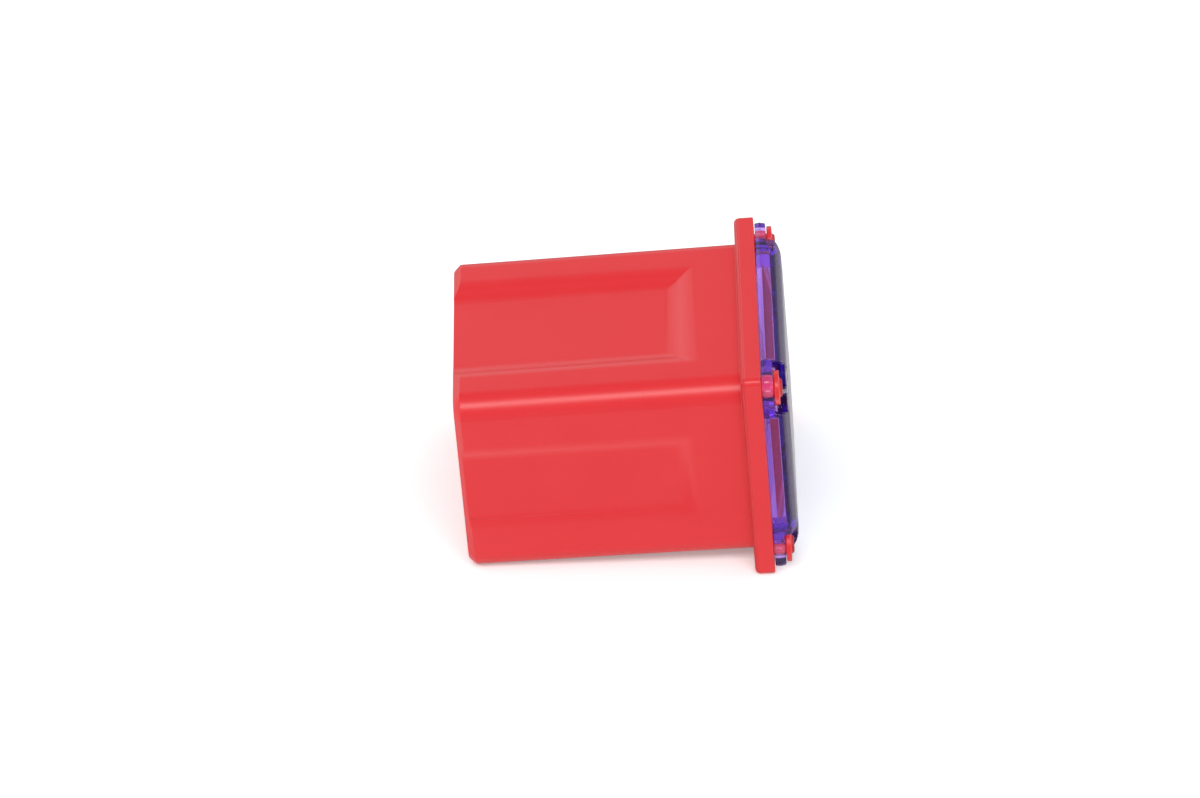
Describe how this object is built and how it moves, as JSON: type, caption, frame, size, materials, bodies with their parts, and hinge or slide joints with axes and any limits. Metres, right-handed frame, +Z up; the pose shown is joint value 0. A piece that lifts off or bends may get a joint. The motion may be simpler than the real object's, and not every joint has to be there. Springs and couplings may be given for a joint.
{
  "type": "cartridge fuse",
  "caption": "Low-profile cartridge fuse with female terminals: red moulded housing, flange and clear violet cap staked at the corners.",
  "frame": {"origin": "under the middle of the bounding box, on the plane that the flange's lower side touches; the fuse lies on its side as in the picture", "axes": "+X along the fuse axis from the open blade end to the clear cap, +Y along the flange's long side, +Z up"},
  "size_m": [0.0176, 0.0152, 0.0126],
  "materials": {
    "red_moulding": "satin moulded polymer",
    "clear_violet": "clear violet polycarbonate",
    "plated_copper": "tin-plated copper alloy strip",
    "tin": "cast tin",
    "spring_steel": "stainless spring strip"
  },
  "bodies": {
    "root": {"housing": "red_moulding", "window_cap": "clear_violet", "fuse_element": "plated_copper", "link_pellet": "tin", "spring_clip_1": "spring_steel", "spring_clip_2": "spring_steel"}
  },
  "joints": []
}
